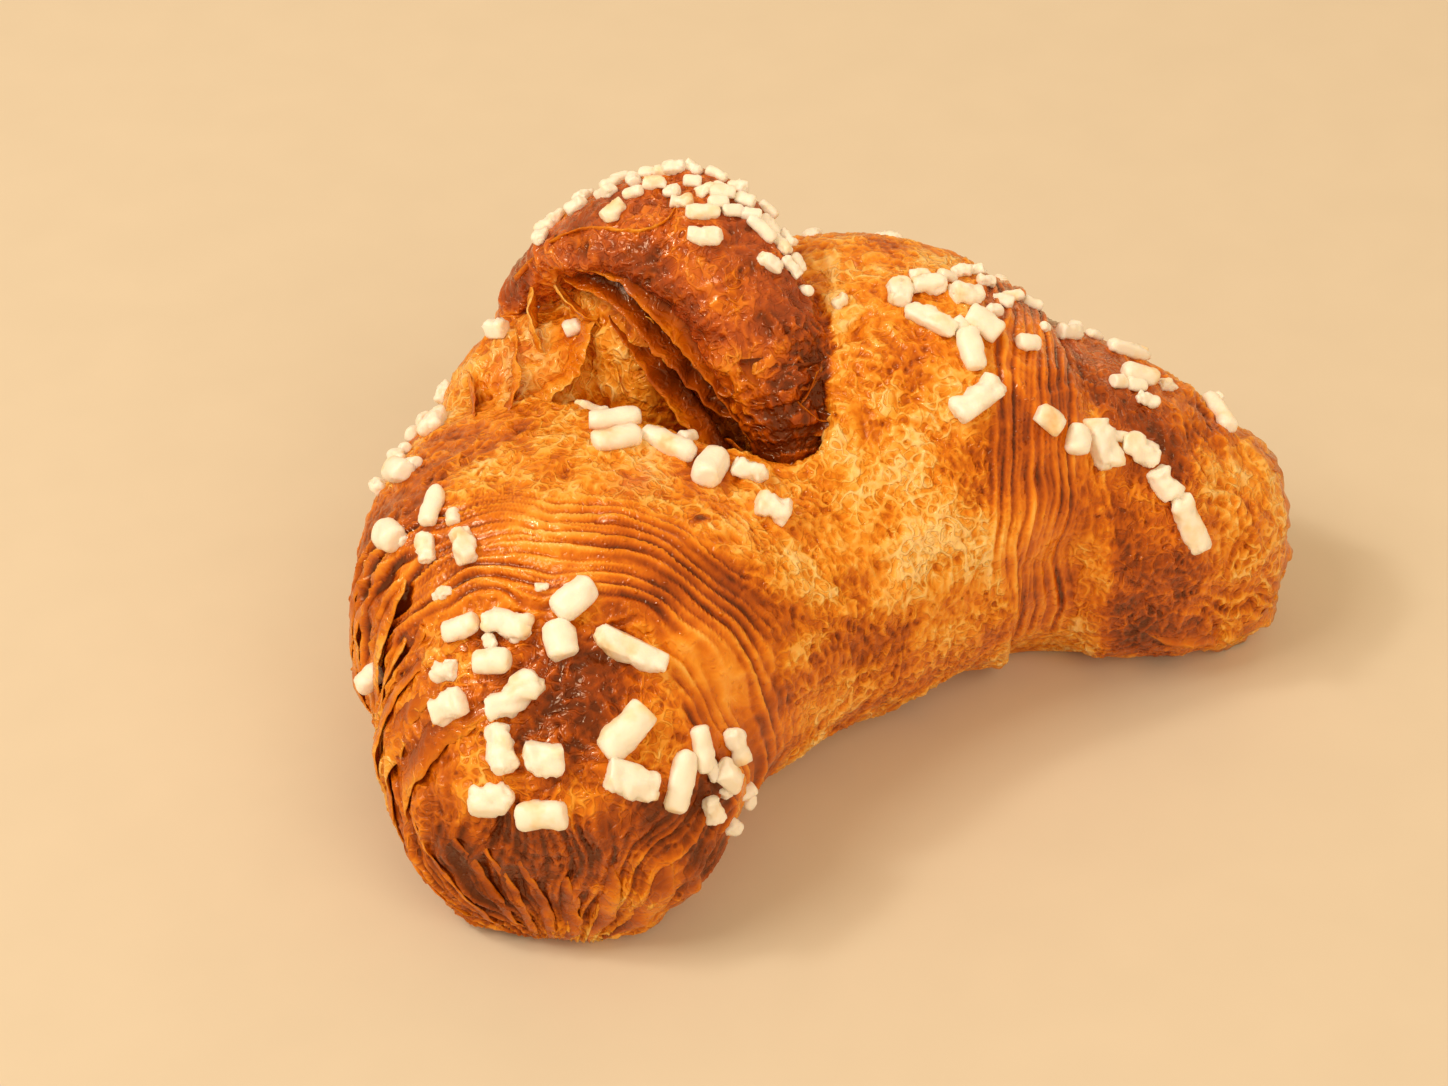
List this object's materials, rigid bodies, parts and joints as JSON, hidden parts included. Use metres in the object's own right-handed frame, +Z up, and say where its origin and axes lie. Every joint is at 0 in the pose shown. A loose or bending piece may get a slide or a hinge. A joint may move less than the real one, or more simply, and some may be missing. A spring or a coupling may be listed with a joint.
{
  "type": "croissant",
  "caption": "Large curved butter croissant with a broad belly, two tapered horns, a sprung tongue of dough over a pocket, and pearl sugar baked onto its glazed crust.",
  "frame": {"origin": "middle of the footprint box, on the surface the croissant rests on", "axes": "+X from the left horn to the right horn, +Y from the bay between the horns to the back of the belly, +Z up"},
  "size_m": [0.146, 0.0914, 0.0736],
  "materials": {
    "crust": "baked, egg-washed laminated crust: satin to glossy, golden to deep amber",
    "pearl_sugar": "opaque ivory pearl sugar, satin"
  },
  "bodies": {
    "root": {"croissant_dough": "crust", "sugar_left_arm_01": "pearl_sugar", "sugar_left_arm_02": "pearl_sugar", "sugar_left_arm_03": "pearl_sugar", "sugar_left_arm_04": "pearl_sugar", "sugar_left_arm_05": "pearl_sugar", "sugar_left_arm_06": "pearl_sugar", "sugar_left_horn_01": "pearl_sugar", "sugar_left_horn_02": "pearl_sugar", "sugar_left_horn_03": "pearl_sugar", "sugar_left_horn_04": "pearl_sugar", "sugar_left_horn_05": "pearl_sugar", "sugar_left_horn_06": "pearl_sugar", "sugar_left_horn_07": "pearl_sugar", "sugar_left_horn_08": "pearl_sugar", "sugar_left_horn_09": "pearl_sugar", "sugar_left_horn_10": "pearl_sugar", "sugar_left_horn_11": "pearl_sugar", "sugar_left_horn_12": "pearl_sugar", "sugar_left_horn_13": "pearl_sugar", "sugar_left_horn_14": "pearl_sugar", "sugar_left_horn_15": "pearl_sugar", "sugar_left_horn_16": "pearl_sugar", "sugar_left_horn_17": "pearl_sugar", "sugar_left_horn_18": "pearl_sugar", "sugar_left_horn_19": "pearl_sugar", "sugar_left_horn_20": "pearl_sugar", "sugar_pocket_rim_01": "pearl_sugar", "sugar_pocket_rim_02": "pearl_sugar", "sugar_pocket_rim_03": "pearl_sugar", "sugar_pocket_rim_04": "pearl_sugar", "sugar_pocket_rim_05": "pearl_sugar", "sugar_pocket_rim_06": "pearl_sugar", "sugar_pocket_rim_07": "pearl_sugar", "sugar_right_arm_01": "pearl_sugar", "sugar_right_arm_02": "pearl_sugar", "sugar_right_arm_03": "pearl_sugar", "sugar_right_arm_04": "pearl_sugar", "sugar_right_arm_05": "pearl_sugar", "sugar_right_arm_06": "pearl_sugar", "sugar_right_arm_07": "pearl_sugar", "sugar_right_arm_08": "pearl_sugar", "sugar_right_arm_09": "pearl_sugar", "sugar_right_arm_10": "pearl_sugar", "sugar_right_arm_11": "pearl_sugar", "sugar_right_arm_12": "pearl_sugar", "sugar_right_arm_13": "pearl_sugar", "sugar_right_arm_14": "pearl_sugar", "sugar_right_arm_15": "pearl_sugar", "sugar_right_arm_16": "pearl_sugar", "sugar_right_arm_17": "pearl_sugar", "sugar_right_arm_18": "pearl_sugar", "sugar_tongue_01": "pearl_sugar", "sugar_tongue_02": "pearl_sugar", "sugar_tongue_03": "pearl_sugar", "sugar_tongue_04": "pearl_sugar", "sugar_tongue_05": "pearl_sugar", "sugar_tongue_06": "pearl_sugar", "sugar_tongue_07": "pearl_sugar", "sugar_tongue_08": "pearl_sugar"}
  },
  "joints": []
}
